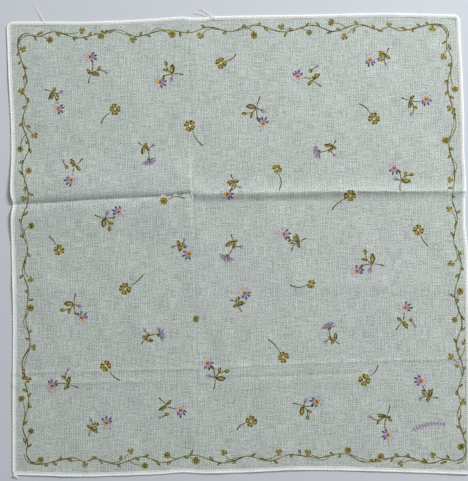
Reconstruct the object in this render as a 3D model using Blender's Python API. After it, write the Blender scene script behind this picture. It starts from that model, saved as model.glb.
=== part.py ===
"""A handkerchief of fine cotton lawn, laid open: one square cloth with a rolled hem.

It lies flat, apart from the creases that its folding has left: a sharp one across the
middle, an upright one from top to bottom, and a fine double one lower down.

Tables and sizes are in millimetres, the mesh in metres. +X runs to the right, +Y away
from the viewer and +Z up. The origin is under the middle of the cloth, on the surface
that it lies on.
"""

import math
from collections import namedtuple

import bpy

MM = 0.001

SHEET_THICKNESS = 1.0
HEM_WIDTH = 2.7
GRID_STEP = 17.0  # between grid lines where the cloth is flat

# The corners, before they are rounded by the width of the hem.
Corner = namedtuple("Corner", "x y")
FAR_LEFT = Corner(-153.4, 147.2)
FAR_RIGHT = Corner(148.1, 151.9)
NEAR_RIGHT = Corner(153.2, -151.6)
NEAR_LEFT = Corner(-146.9, -151.8)

# How far each edge lies outside the straight line between its corners. The small dips
# are where the creases run out over the hem.
Bow = namedtuple("Bow", "along outward")
FAR_BOWS = [
    Bow(-124, -0.4), Bow(-98, -0.9), Bow(-58, 0.3), Bow(-38, 1.5), Bow(-30, 0.8),
    Bow(-24, 0.7), Bow(-14, 1.5), Bow(57, 1.6), Bow(96, 1.9), Bow(123, 1.0),
]
NEAR_BOWS = [
    Bow(-126, 0.6), Bow(-105, 1.2), Bow(-87, 0.9), Bow(-50, -0.4), Bow(-35, -1.5),
    Bow(-24, -0.9), Bow(7, -1.5), Bow(36, -2.9), Bow(54, -2.9), Bow(77, -2.5),
    Bow(112, -1.4),
]
LEFT_BOWS = [
    Bow(-101, -0.7), Bow(-44, -1.7), Bow(-3, -1.3), Bow(17, -1.5), Bow(26, -2.7),
    Bow(34, -1.4), Bow(62, -2.1), Bow(80, -2.0), Bow(100, -1.3), Bow(121, -0.6),
]
RIGHT_BOWS = [
    Bow(-125, 0.3), Bow(-80, 0.9), Bow(-21, 1.3), Bow(-3, 1.3), Bow(11, 0.3),
    Bow(31, 0.7), Bow(37, 1.4), Bow(62, 0.8), Bow(87, 1.1), Bow(114, 0.8), Bow(131, 0.3),
]

# Where the creases run: the middle and lower ones by x, the upright one by y.
Course = namedtuple("Course", "along across")
MIDDLE_COURSE = [
    Course(-149, 25.6), Course(-122, 27.2), Course(-87, 29.4), Course(-34, 32.2),
    Course(-24, 33.4), Course(9, 34.0), Course(61, 34.8), Course(124, 35.2),
    Course(152, 35.4),
]
LOWER_COURSE = [
    Course(-148, -84.8), Course(-123, -84.1), Course(-73, -82.8), Course(-30, -81.8),
    Course(12, -79.8), Course(71, -77.5), Course(133, -75.6), Course(153, -75.0),
]
UPRIGHT_COURSE = [
    Course(-152, -28.3), Course(-104, -27.8), Course(-60, -28.2), Course(-19, -28.9),
    Course(17, -29.6), Course(46, -31.3), Course(95, -32.2), Course(128, -33.4),
    Course(151, -31.2),
]
SECOND_LINE_GAP = 8.2  # the second lower crease runs this far below the first

# How high the cloth stands along the middle crease. To the left the fold itself is
# pressed down between two raised flanks, and to the right it stands up as a ridge.
Rise = namedtuple("Rise", "along ridge far_flank near_flank")
MIDDLE_RISES = [
    Rise(-151, 0.0, 1.5, 0.6), Rise(-120, 0.0, 1.7, 0.9), Rise(-60, 0.0, 1.5, 0.8),
    Rise(-38, 0.0, 1.3, 0.6), Rise(-28, 0.3, 0.4, 0.2), Rise(-18, 1.3, 0.0, 0.0),
    Rise(0, 2.1, 0.0, 0.0), Rise(60, 2.3, 0.0, 0.0), Rise(120, 2.0, 0.0, 0.0),
    Rise(152, 1.6, 0.0, 0.0),
]
RIDGE_FAR_REACH = 12.0
RIDGE_NEAR_REACH = 9.0
FLANK_FAR_REACH = 20.0
FLANK_NEAR_REACH = 13.0

UPRIGHT_FLANK = 0.4
UPRIGHT_REACH = 11.0

LOWER_RIDGE = 0.55
LOWER_REACH = 6.0
# The second lower crease stands up at the left end and is pressed in at the right end.
Second = namedtuple("Second", "along ridge flank")
SECOND_RISES = [
    Second(-149, 0.4, 0.0), Second(-70, 0.4, 0.0), Second(-35, 0.1, 0.0),
    Second(0, 0.0, 0.25), Second(80, 0.0, 0.25), Second(110, 0.0, 0.0),
]

# Soft swells between the creases: an oval each, as long and as wide as its half sizes.
Swell = namedtuple("Swell", "x y half_long half_wide height")
SWELLS = [
    Swell(84, -28, 70, 9, 0.5),
    Swell(-112, -31, 34, 7, 0.4),
]

# The rolled hem's section, from its inner line to the outer edge.
Section = namedtuple("Section", "share bottom top")
HEM_SECTION = [
    Section(0.15, 0.0, 1.5), Section(0.5, 0.0, 1.7), Section(0.88, 0.0, 1.5),
    Section(1.0, 0.35, 1.15),
]

# How far from each crease the grid lines beside it lie, so that its flanks are round.
MIDDLE_FAR_STOPS = (0.0, 1.8, 3.8, 6.0, 9.5, 14.0)
MIDDLE_NEAR_STOPS = (0.0, 1.6, 3.4, 5.8, 9.0, 13.0)
UPRIGHT_STOPS = (0.0, 2.6, 6.0, 11.0)
LOWER_FAR_STOPS = (0.0, 2.2, 6.0)
LOWER_NEAR_STOPS = (0.0, 2.6, 5.6, 8.2, 10.8, 14.4)
HEM_STOPS = (0.0,)

CLOTH_COLOUR = (0.455, 0.495, 0.465, 1.0)
CLOTH_ROUGHNESS = 0.85


def curve_through(rows):
    """A smooth curve through a table's (place, value) rows, straight on past its ends."""
    places = [row[0] for row in rows]
    values = [row[1] for row in rows]
    last = len(rows) - 1
    slopes = []
    for i in range(len(rows)):
        before, after = max(i - 1, 0), min(i + 1, last)
        slopes.append((values[after] - values[before]) / (places[after] - places[before]))

    def value(place):
        if place <= places[0]:
            return values[0] + slopes[0] * (place - places[0])
        if place >= places[last]:
            return values[last] + slopes[last] * (place - places[last])
        i = max(k for k in range(last) if places[k] <= place)
        gap = places[i + 1] - places[i]
        t = (place - places[i]) / gap
        from_start = values[i] * (1 + 2 * t) + slopes[i] * gap * t
        from_end = values[i + 1] * (3 - 2 * t) - slopes[i + 1] * gap * (1 - t)
        return from_start * (1 - t) ** 2 + from_end * t**2

    return value


def column_of(rows, name):
    """One column of a table of rises as a curve along the crease."""
    return curve_through([(row.along, getattr(row, name)) for row in rows])


def edge_line(start, end, by, bows, outward):
    """The line where the cloth meets its hem. by is 0 for an edge read by x, 1 by y."""
    across = 1 - by
    slope = (end[across] - start[across]) / (end[by] - start[by])
    bow = curve_through([(start[by], 0.0), *bows, (end[by], 0.0)])

    def line(place):
        straight = start[across] + slope * (place - start[by])
        return straight + outward * (bow(place) - HEM_WIDTH)

    return line


middle_line = curve_through(MIDDLE_COURSE)
lower_line = curve_through(LOWER_COURSE)
upright_line = curve_through(UPRIGHT_COURSE)
COLUMN_LINES = [
    edge_line(NEAR_LEFT, FAR_LEFT, 1, LEFT_BOWS, -1),
    upright_line,
    edge_line(NEAR_RIGHT, FAR_RIGHT, 1, RIGHT_BOWS, 1),
]
ROW_LINES = [
    edge_line(NEAR_LEFT, NEAR_RIGHT, 0, NEAR_BOWS, -1),
    lower_line,
    middle_line,
    edge_line(FAR_LEFT, FAR_RIGHT, 0, FAR_BOWS, 1),
]
ridge_rise = column_of(MIDDLE_RISES, "ridge")
far_rise = column_of(MIDDLE_RISES, "far_flank")
near_rise = column_of(MIDDLE_RISES, "near_flank")
second_ridge = column_of(SECOND_RISES, "ridge")
second_flank = column_of(SECOND_RISES, "flank")


def ridge(distance, reach):
    """1 on a fold that stands up, falling to 0 at its reach, steepest at the fold."""
    return max(0.0, 1 - distance / reach) ** 3


def flank(distance, reach):
    """0 on a fold that is pressed down, 1 a quarter of the way out, 0 at its reach."""
    share = min(distance / reach, 1.0)
    peak = 0.25 * 0.75**3
    return share * (1 - share) ** 3 / peak


def lift_of_middle(x, y):
    above = y - middle_line(x)
    if above >= 0:
        fold = max(0.0, ridge_rise(x)) * ridge(above, RIDGE_FAR_REACH)
        return fold + max(0.0, far_rise(x)) * flank(above, FLANK_FAR_REACH)
    fold = max(0.0, ridge_rise(x)) * ridge(-above, RIDGE_NEAR_REACH)
    return fold + max(0.0, near_rise(x)) * flank(-above, FLANK_NEAR_REACH)


def lift_of_lower(x, y):
    first = abs(y - lower_line(x))
    second = abs(y - lower_line(x) + SECOND_LINE_GAP)
    return (
        LOWER_RIDGE * ridge(first, LOWER_REACH)
        + max(0.0, second_ridge(x)) * ridge(second, LOWER_REACH)
        + max(0.0, second_flank(x)) * flank(second, 2 * LOWER_REACH)
    )


def lift_of_swells(x, y):
    total = 0.0
    for swell in SWELLS:
        out = math.hypot((x - swell.x) / swell.half_long, (y - swell.y) / swell.half_wide)
        total += swell.height * max(0.0, 1 - out**2) ** 2
    return total


def lift(x, y):
    """How far the cloth's underside stands off the surface: 0 where it lies flat."""
    upright = UPRIGHT_FLANK * flank(abs(x - upright_line(y)), UPRIGHT_REACH)
    return lift_of_middle(x, y) + upright + lift_of_lower(x, y) + lift_of_swells(x, y)


# A grid line runs in a panel between two lines, at a share of the way from one to the
# other. On the hem it lies beyond the panel by a share of the hem's width.
GridLine = namedtuple("GridLine", "panel share hem")


def panel_shares(length, start_stops, end_stops):
    """Shares across a panel: close to the crease at either end, even steps between."""
    first, last = start_stops[-1], length - end_stops[-1]
    steps = math.ceil((last - first) / GRID_STEP)
    between = [first + (last - first) * i / steps for i in range(1, steps)]
    places = [*start_stops, *between, *(length - stop for stop in reversed(end_stops))]
    return [place / length for place in places]


def grid_lines(lines, stops):
    """All grid lines of one direction, from the first edge to the last one."""
    shares = [section.share for section in HEM_SECTION]
    last = len(lines) - 2
    found = [GridLine(0, 0.0, -share) for share in reversed(shares)]
    for panel in range(last + 1):
        length = lines[panel + 1](0.0) - lines[panel](0.0)
        start_stops, end_stops = stops[panel][1], stops[panel + 1][0]
        inside = panel_shares(length, start_stops, end_stops)
        found += [GridLine(panel, share, 0.0) for share in inside[:-1]]
    found.append(GridLine(last, 1.0, 0.0))
    return found + [GridLine(last, 1.0, share) for share in shares]


def along_line(lines, grid_line, place):
    start, end = lines[grid_line.panel], lines[grid_line.panel + 1]
    return start(place) + (end(place) - start(place)) * grid_line.share


def crossing(column, row):
    """Where two grid lines cross, with the corners of the hem rounded to its width."""
    x = y = 0.0
    for _ in range(4):
        x = along_line(COLUMN_LINES, column, y)
        y = along_line(ROW_LINES, row, x)
    out_x = column.hem * math.sqrt(1 - row.hem**2 / 2)
    out_y = row.hem * math.sqrt(1 - column.hem**2 / 2)
    return x + out_x * HEM_WIDTH, y + out_y * HEM_WIDTH


def section_heights(column, row):
    share = max(abs(column.hem), abs(row.hem))
    for section in HEM_SECTION:
        if section.share == share:
            return section.bottom, section.top
    return 0.0, SHEET_THICKNESS


def cloth_points(columns, rows):
    """Both faces' points, the underside first, with the middle of the cloth at 0, 0."""
    under, upper = [], []
    for row in rows:
        for column in columns:
            x, y = crossing(column, row)
            bottom, top = section_heights(column, row)
            rise = lift(x, y)
            under.append((x, y, bottom + rise))
            upper.append((x, y, top + rise))
    middle_x = (min(p[0] for p in upper) + max(p[0] for p in upper)) / 2
    middle_y = (min(p[1] for p in upper) + max(p[1] for p in upper)) / 2
    return [
        ((x - middle_x) * MM, (y - middle_y) * MM, z * MM) for x, y, z in under + upper
    ]


def cloth_faces(wide, deep):
    """The two faces of a grid of wide by deep points, and the rim that joins them."""
    faces = []
    upper = wide * deep
    for j in range(deep - 1):
        for i in range(wide - 1):
            a = j * wide + i
            b, c, d = a + 1, a + 1 + wide, a + wide
            faces.append((a, d, c, b))
            faces.append((a + upper, b + upper, c + upper, d + upper))
    near = [i for i in range(wide)]
    right = [j * wide + wide - 1 for j in range(1, deep)]
    far = [(deep - 1) * wide + i for i in reversed(range(wide - 1))]
    left = [j * wide for j in reversed(range(1, deep - 1))]
    rim = near + right + far + left
    for a, b in zip(rim, rim[1:] + rim[:1]):
        faces.append((a, b, b + upper, a + upper))
    return faces


def cotton_lawn():
    material = bpy.data.materials.new("cotton_lawn")
    material.use_nodes = True
    shader = material.node_tree.nodes["Principled BSDF"]
    shader.inputs["Base Color"].default_value = CLOTH_COLOUR
    shader.inputs["Roughness"].default_value = CLOTH_ROUGHNESS
    shader.inputs["Metallic"].default_value = 0.0
    return material


def make_cloth():
    hem = (HEM_STOPS, HEM_STOPS)
    upright = (UPRIGHT_STOPS, UPRIGHT_STOPS)
    lower = (LOWER_NEAR_STOPS, LOWER_FAR_STOPS)
    middle = (MIDDLE_NEAR_STOPS, MIDDLE_FAR_STOPS)
    columns = grid_lines(COLUMN_LINES, [hem, upright, hem])
    rows = grid_lines(ROW_LINES, [hem, lower, middle, hem])
    mesh = bpy.data.meshes.new("cloth")
    mesh.from_pydata(cloth_points(columns, rows), [], cloth_faces(len(columns), len(rows)))
    mesh.validate()
    mesh.shade_smooth()
    mesh.materials.append(cotton_lawn())
    cloth = bpy.data.objects.new("cloth", mesh)
    bpy.context.scene.collection.objects.link(cloth)
    return cloth


for old in list(bpy.data.objects):
    bpy.data.objects.remove(old)
make_cloth()
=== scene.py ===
"""A handkerchief of fine printed cotton lawn with a rolled hem, laid open on a pale floor.

Tables and sizes are in millimetres and the meshes in metres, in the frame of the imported
part: +X to the right, +Y away from the viewer and +Z up, with the floor at 0. Places on the
cloth that were read off the photograph are pixels of its 468 by 481 frame, from the top
left corner, and on_cloth() turns them into millimetres.
"""

import math
from collections import namedtuple

import bpy
import numpy as np
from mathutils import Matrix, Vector
from mathutils.geometry import delaunay_2d_cdt


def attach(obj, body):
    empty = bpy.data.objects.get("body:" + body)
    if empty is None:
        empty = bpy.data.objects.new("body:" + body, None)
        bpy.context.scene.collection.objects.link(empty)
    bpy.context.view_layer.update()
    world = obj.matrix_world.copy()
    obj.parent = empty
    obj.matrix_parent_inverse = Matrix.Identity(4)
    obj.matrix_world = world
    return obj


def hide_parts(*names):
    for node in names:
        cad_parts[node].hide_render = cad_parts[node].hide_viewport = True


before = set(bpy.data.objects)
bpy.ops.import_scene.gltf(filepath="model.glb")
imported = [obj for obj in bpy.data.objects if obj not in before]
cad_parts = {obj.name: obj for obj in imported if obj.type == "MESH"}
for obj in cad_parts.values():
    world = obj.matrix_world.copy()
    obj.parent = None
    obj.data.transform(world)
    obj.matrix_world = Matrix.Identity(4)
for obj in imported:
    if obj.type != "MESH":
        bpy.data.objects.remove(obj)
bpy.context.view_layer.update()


def table(kind, rows):
    """Rows of plain values with the names of their columns."""
    return [kind(*row) for row in rows]


MM = 0.001

# The camera, and where the photograph's middle falls on the cloth.
PHOTO_WIDE, PHOTO_HIGH = 468, 481
CAMERA_DISTANCE = 600.0
CAMERA_TILT = math.radians(1.9)
MM_PER_PIXEL = 0.66
AIM_X, AIM_Y = -1.9, 1.7
SENSOR_HIGH = 36.0
CLIP_START = 0.01

# The cloth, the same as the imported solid: its corners, before they are rounded, and the bows
# of its edges.
HEM_WIDTH = 2.7
FAR_LEFT = (-153.4, 147.2)
FAR_RIGHT = (148.1, 151.9)
NEAR_RIGHT = (153.2, -151.6)
NEAR_LEFT = (-146.9, -151.8)

# Each row is a place along the edge and how far out of the straight line it lies.
FAR_BOWS = [
    (-124, -0.4), (-98, -0.9), (-58, 0.3), (-38, 1.5), (-30, 0.8), (-24, 0.7), (-14, 1.5),
    (57, 1.6), (96, 1.9), (123, 1.0),
]
NEAR_BOWS = [
    (-126, 0.6), (-105, 1.2), (-87, 0.9), (-50, -0.4), (-35, -1.5), (-24, -0.9), (7, -1.5),
    (36, -2.9), (54, -2.9), (77, -2.5), (112, -1.4),
]
LEFT_BOWS = [
    (-101, -0.7), (-44, -1.7), (-3, -1.3), (17, -1.5), (26, -2.7), (34, -1.4), (62, -2.1),
    (80, -2.0), (100, -1.3), (121, -0.6),
]
RIGHT_BOWS = [
    (-125, 0.3), (-80, 0.9), (-21, 1.3), (-3, 1.3), (11, 0.3), (31, 0.7), (37, 1.4), (62, 0.8),
    (87, 1.1), (114, 0.8), (131, 0.3),
]

# The creases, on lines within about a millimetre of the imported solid's. Each row is a place
# along the crease and how far over it lies there.
MIDDLE_COURSE = [
    (-149, 25.1), (-122, 26.7), (-87, 28.9), (-48, 30.8), (-42, 31.4), (-37, 32.1), (-32, 32.6),
    (-28, 32.6), (-24, 32.7), (9, 33.2), (61, 34.0), (124, 34.1), (152, 34.3),
]
LOWER_COURSE = [
    (-148, -85.4), (-123, -84.7), (-73, -83.4), (-30, -82.4), (12, -80.4), (71, -78.1),
    (133, -76.2), (153, -75.6),
]
UPRIGHT_COURSE = [
    (-152, -27.0), (-104, -26.5), (-60, -26.9), (-19, -27.6), (17, -28.3), (46, -30.0),
    (95, -30.9), (128, -32.1), (151, -29.9),
]
SECOND_LINE_GAP = 7.6  # from the lower crease to the line on its near side
# Along the middle crease: how high it stands, how high the cloth swells on either side where
# it is pressed in, how far off the far swell's crest is, and how sharply its near side falls.
Rise = namedtuple("Rise", "along ridge far_swell near_swell crest sharp")
MIDDLE_RISES = table(Rise, [
    (-151, 0.0, 1.9, 1.0, 5.6, 1), (-120, 0.0, 2.2, 1.2, 6.0, 1), (-64, 0.0, 2.1, 1.2, 5.6, 1),
    (-50, 0.0, 1.9, 1.2, 4.0, 1), (-38, 0.0, 1.8, 1.0, 3.4, 1), (-34, 0.0, 1.6, 0.9, 3.2, 1),
    (-31, 0.0, 1.3, 0.6, 3.0, 1), (-29, 0.8, 0.3, 0.0, 3.0, 0.4), (-26, 1.7, 0.0, 0.0, 3.0, 0.1),
    (-18, 2.1, 0.0, 0.0, 3.0, 0), (40, 2.3, 0.0, 0.0, 3.0, 0), (58, 2.3, 0.0, 0.0, 3.0, 0.4),
    (80, 2.3, 0.0, 0.0, 3.0, 1), (120, 2.0, 0.0, 0.0, 3.0, 1), (152, 1.6, 0.0, 0.0, 3.0, 1),
])
RIDGE_FAR_REACH = 12.0
RIDGE_NEAR_REACH = 9.0
RIDGE_ROUND_REACH = 6.0
RIDGE_STEEPNESS = 3
CREST_STEEPNESS = 2.5
SWELL_FAR_REACH = 34.0
SWELL_NEAR_CREST = 6.0
SWELL_NEAR_REACH = 30.0
UPRIGHT_SWELL = 0.15
UPRIGHT_CREST = 1.7
UPRIGHT_REACH = 11.0
LOWER_RIDGE = 0.32
LOWER_REACH = 3.6
SECOND_CREST = 3.0
SECOND_REACH = 12.0
Second = namedtuple("Second", "along ridge swell")
SECOND_RISES = table(Second, [
    (-149, 0.4, 0.0), (-70, 0.4, 0.0), (-35, 0.1, 0.0), (0, 0.0, 0.25), (80, 0.0, 0.25),
    (110, 0.0, 0.0),
])
Swell = namedtuple("Swell", "x y half_long half_wide height")
SWELLS = table(Swell, [(84, -28, 70, 9, 0.5), (-112, -31, 34, 7, 0.4)])
FOLD_SOFTNESS = 0.14  # how round a fold is at its very line

# The finer relief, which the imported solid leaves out.
CLOTH_THICKNESS = 0.22
CLOTH_LIE = 0.3  # the cloth's mean height over the floor where nothing lifts it
CLOTH_SETTLE = 0.1  # how softly its lowest places come down to the floor
UNEVEN_SLOPE = 0.03
UNEVEN_WAVES = 9
UNEVEN_LENGTHS = (16.0, 60.0)
UNEVEN_SEED = 11
SLOPE_STEP = 0.05
# Short creases between two pixels of the photograph, raised or pressed in.
Wrinkle = namedtuple("Wrinkle", "start_x start_y end_x end_y height half_width")
WRINKLES = table(Wrinkle, [
    (62, 434, 93, 408, 0.12, 2.4), (145, 365, 185, 350, 0.12, 2.4), (97, 283, 97, 353, 0.06, 1.6),
    (262, 308, 262, 342, 0.06, 1.6), (189, 160, 189, 190, 0.16, 1.6),
    (189.5, 187, 193, 203, 0.5, 1.5),
])

# The steps of the sheet's grid, close together beside each crease.
GRID_STEP = 4.0
CROSSING_ROUNDS = 5  # rounds of closing in on where two curved lines cross
HEM_OVERLAP = 0.3  # how far the sheet runs in under the hem
MIDDLE_FAR_STOPS = (0.0, 0.3, 0.7, 1.2, 1.9, 2.8, 3.9, 5.2, 6.8, 8.8, 11.4, 14.6, 18.4)
MIDDLE_NEAR_STOPS = MIDDLE_FAR_STOPS[:-1]
UPRIGHT_STOPS = (0.0, 0.4, 0.9, 1.5, 2.3, 3.6, 6.0, 9.6)
LOWER_FAR_STOPS = (0.0, 0.4, 0.9, 1.6, 2.6, 4.0, 6.0)
LOWER_NEAR_STOPS = (
    0.0, 0.4, 0.9, 1.6, 2.6, 4.1, 5.6, 6.6, 7.3, 7.8, 8.2, 8.6, 9.1, 9.8, 10.8, 12.3, 14.4,
)
EDGE_STOPS = (0.0, 1.2)


def curve_through(rows):
    """A smooth curve through a table's (place, value) rows, straight on past its ends."""
    places = np.array([row[0] for row in rows], float)
    values = np.array([row[1] for row in rows], float)
    last = len(rows) - 1
    before = np.maximum(np.arange(last + 1) - 1, 0)
    after = np.minimum(np.arange(last + 1) + 1, last)
    slopes = (values[after] - values[before]) / (places[after] - places[before])

    def value(place):
        place = np.asarray(place, float)
        i = np.clip(np.searchsorted(places, place, side="right") - 1, 0, last - 1)
        gap = places[i + 1] - places[i]
        t = np.clip((place - places[i]) / gap, 0, 1)
        from_start = values[i] * (1 + 2 * t) + slopes[i] * gap * t
        from_end = values[i + 1] * (3 - 2 * t) - slopes[i + 1] * gap * (1 - t)
        short = np.minimum(place - places[0], 0) * slopes[0]
        past = np.maximum(place - places[last], 0) * slopes[last]
        return from_start * (1 - t) ** 2 + from_end * t**2 + short + past

    return value


def column_of(rows, name):
    """One column of a table of rises as a curve along the crease, never below 0."""
    curve = curve_through([(row.along, getattr(row, name)) for row in rows])
    return lambda place: np.maximum(curve(place), 0)


def edge_line(start, end, by, bows, outward, inset):
    """The line that lies inset from an edge. by is 0 for an edge read by x and 1 by y."""
    across = 1 - by
    slope = (end[across] - start[across]) / (end[by] - start[by])
    bow = curve_through([(start[by], 0.0), *bows, (end[by], 0.0)])

    def line(place):
        straight = start[across] + slope * (place - start[by])
        return straight + outward * (bow(place) - inset)

    return line


def edges(inset):
    """The near, right, far and left edges' lines, at an inset."""
    return (
        edge_line(NEAR_LEFT, NEAR_RIGHT, 0, NEAR_BOWS, -1, inset),
        edge_line(NEAR_RIGHT, FAR_RIGHT, 1, RIGHT_BOWS, 1, inset),
        edge_line(FAR_LEFT, FAR_RIGHT, 0, FAR_BOWS, 1, inset),
        edge_line(NEAR_LEFT, FAR_LEFT, 1, LEFT_BOWS, -1, inset),
    )


def ring_around(turns, step):
    """Points all round the cloth, anticlockwise, and the way out at each of them.

    turns are the radii of the near left, near right, far right and far left corners.
    """
    corners = []
    for k, turn in enumerate(turns):
        near, right, far, left = edges(turn)
        across = near if k < 2 else far
        along = right if k in (1, 2) else left
        x = y = 0.0
        for _ in range(CROSSING_ROUNDS):
            x = along(y)
            y = across(x)
        corners.append(np.array((x, y)))
    points, outward = [], []
    for k, line in enumerate(edges(0.0)):
        start, end = corners[k], corners[(k + 1) % 4]
        by = k % 2
        out_angle = (k - 1) * math.pi / 2
        out = np.array((math.cos(out_angle), math.sin(out_angle)))
        count = max(round(np.linalg.norm(end - start) / step), 1)
        places = start[by] + (end[by] - start[by]) * np.arange(count) / count
        side = np.empty((count, 2))
        side[:, by] = places
        side[:, 1 - by] = line(places)
        points.append(side)
        outward.append(np.tile(out, (count, 1)))
        turn = turns[(k + 1) % 4]
        steps = max(round(math.pi / 2 * turn / step), 2)
        angles = out_angle + math.pi / 2 * np.arange(steps) / steps
        fan = np.stack((np.cos(angles), np.sin(angles)), 1)
        points.append(end + fan * turn)
        outward.append(fan)
    return np.concatenate(points), np.concatenate(outward)


middle_line = curve_through(MIDDLE_COURSE)
lower_line = curve_through(LOWER_COURSE)
upright_line = curve_through(UPRIGHT_COURSE)
ridge_rise = column_of(MIDDLE_RISES, "ridge")
far_rise = column_of(MIDDLE_RISES, "far_swell")
near_rise = column_of(MIDDLE_RISES, "near_swell")
far_crest = column_of(MIDDLE_RISES, "crest")
sharpness = column_of(MIDDLE_RISES, "sharp")
second_ridge = column_of(SECOND_RISES, "ridge")
second_swell = column_of(SECOND_RISES, "swell")

outline = ring_around([HEM_WIDTH] * 4, 1.0)[0]
CLOTH_MIDDLE = (outline.min(axis=0) + outline.max(axis=0)) / 2


def on_cloth(pixel_x, pixel_y):
    """Where a pixel of the photograph lies on the flat cloth, in millimetres."""
    focal = CAMERA_DISTANCE / MM_PER_PIXEL
    across, up = pixel_x - PHOTO_WIDE / 2, PHOTO_HIGH / 2 - pixel_y
    y = up * CAMERA_DISTANCE / (focal * math.cos(CAMERA_TILT) - up * math.sin(CAMERA_TILT))
    x = across * (CAMERA_DISTANCE + y * math.sin(CAMERA_TILT)) / focal
    return np.array((x + AIM_X, y + AIM_Y))


def soft(distance):
    """A distance from a fold's line, with its corner at 0 rounded off."""
    return np.sqrt(distance**2 + FOLD_SOFTNESS**2) - FOLD_SOFTNESS


def ridge(distance, reach):
    """1 on a fold that stands up, falling steeply at first and to 0 at its reach."""
    return np.maximum(0, 1 - soft(distance) / reach) ** RIDGE_STEEPNESS


def rounded(distance, reach):
    """1 on a rounded fold, falling slowly at first and then to 0 at its reach."""
    share = np.clip(distance / reach, 0, 1)
    return (1 - share) ** 2 * (1 + 2 * share)


def beside(distance, crest, reach):
    """0 on a fold that is pressed down, 1 at the crest beside it, 0 again at its reach."""
    away = soft(distance)
    rising = 1 - (1 - np.minimum(away / crest, 1)) ** CREST_STEEPNESS
    return np.where(away < crest, rising, rounded(away - crest, reach - crest))


def lift_of_middle(x, y):
    above = y - middle_line(x)
    sharp = ridge(above, RIDGE_NEAR_REACH)
    near_side = sharp + (rounded(-above, RIDGE_ROUND_REACH) - sharp) * (1 - sharpness(x))
    standing = ridge_rise(x) * np.where(above >= 0, ridge(above, RIDGE_FAR_REACH), near_side)
    far_side = far_rise(x) * beside(above, far_crest(x), SWELL_FAR_REACH)
    near_side = near_rise(x) * beside(above, SWELL_NEAR_CREST, SWELL_NEAR_REACH)
    return standing + np.where(above >= 0, far_side, near_side)


def lift_of_lower(x, y):
    first = y - lower_line(x)
    second = first + SECOND_LINE_GAP
    return (
        LOWER_RIDGE * ridge(first, LOWER_REACH)
        + second_ridge(x) * ridge(second, 2 * LOWER_REACH)
        + second_swell(x) * beside(second, SECOND_CREST, SECOND_REACH)
    )


def lift_of_swells(x, y):
    total = 0.0
    for swell in SWELLS:
        out = np.hypot((x - swell.x) / swell.half_long, (y - swell.y) / swell.half_wide)
        total += swell.height * np.maximum(0, 1 - out**2) ** 2
    return total


def lift_of_wrinkles(x, y):
    total = 0.0
    for wrinkle in WRINKLES:
        start = on_cloth(wrinkle.start_x, wrinkle.start_y)
        along = on_cloth(wrinkle.end_x, wrinkle.end_y) - start
        length = np.linalg.norm(along)
        forward = ((x - start[0]) * along[0] + (y - start[1]) * along[1]) / length
        sideways = ((x - start[0]) * along[1] - (y - start[1]) * along[0]) / length
        fade = np.sin(np.pi * np.clip(forward / length, 0, 1))
        total += wrinkle.height * fade * ridge(sideways, wrinkle.half_width)
    return total


def make_uneven_waves():
    """Length, direction and phase of the long soft waves that keep the cloth from lying flat."""
    rng = np.random.default_rng(UNEVEN_SEED)
    lengths = np.geomspace(*UNEVEN_LENGTHS, UNEVEN_WAVES)
    return [(length, rng.uniform(0, math.pi), rng.uniform(0, math.tau)) for length in lengths]


uneven_waves = make_uneven_waves()


def unevenness(x, y):
    height_share = UNEVEN_SLOPE * math.sqrt(2 / UNEVEN_WAVES) / math.tau
    total = 0.0
    for length, angle, phase in uneven_waves:
        along = (x * math.cos(angle) + y * math.sin(angle)) / length
        total += length * height_share * np.sin(math.tau * along + phase)
    return total


def lift(x, y):
    """How far the cloth's underside stands off the floor."""
    upright = UPRIGHT_SWELL * beside(x - upright_line(y), UPRIGHT_CREST, UPRIGHT_REACH)
    folds = lift_of_middle(x, y) + upright + lift_of_lower(x, y) + lift_of_swells(x, y)
    total = CLOTH_LIE + folds + lift_of_wrinkles(x, y) + unevenness(x, y)
    return (total + np.sqrt(total**2 + CLOTH_SETTLE**2)) / 2


def normals_at(x, y):
    """The cloth's own direction at each place, from the slope of its lift."""
    step = SLOPE_STEP
    slope_x = (lift(x + step, y) - lift(x - step, y)) / (2 * step)
    slope_y = (lift(x, y + step) - lift(x, y - step)) / (2 * step)
    normals = np.stack((-slope_x, -slope_y, np.ones_like(slope_x)), 1)
    return normals / np.linalg.norm(normals, axis=1, keepdims=True)


def in_metres(x, y, z):
    """Points for a mesh, with the middle of the cloth at 0, 0."""
    return np.stack((x - CLOTH_MIDDLE[0], y - CLOTH_MIDDLE[1], z), 1) * MM


# The print. An ink is the colour as it looks on the cloth, and how far it covers the cloth.
Ink = namedtuple("Ink", "red green blue cover")
OLIVE = Ink(66, 60, 4, 0.97)
PALE_OLIVE = Ink(180, 168, 88, 0.97)
DARK_OLIVE = Ink(14, 18, 0, 0.98)
OCHRE = Ink(134, 106, 14, 0.97)
STEM = Ink(102, 98, 26, 0.95)
FAINT_STEM = Ink(124, 122, 58, 0.9)
CREAM = Ink(222, 214, 160, 0.8)
HALO = Ink(186, 182, 118, 0.5)
YELLOW = Ink(212, 166, 40, 0.97)
DEEP_YELLOW = Ink(178, 124, 20, 0.97)
BROWN = Ink(84, 48, 8, 0.97)
PALE_LILAC = Ink(196, 194, 208, 0.6)
LILAC = Ink(166, 160, 178, 0.65)
LILAC_LINE = Ink(122, 98, 146, 0.75)
PINK = Ink(198, 178, 202, 0.95)
VIOLET = Ink(120, 84, 134, 0.97)
DARK_VIOLET = Ink(46, 18, 56, 0.97)
ORNAMENT_LILAC = Ink(144, 118, 156, 0.85)

# A printed shape: its outline, anticlockwise, and two points between which its ink changes.
Shape = namedtuple("Shape", "points start end near far")
NO_INK = Ink(0, 0, 0, 0.0)
UNPRINTED = Shape((), np.array((0.0, 0.0)), np.array((1.0, 0.0)), NO_INK, NO_INK)

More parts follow.
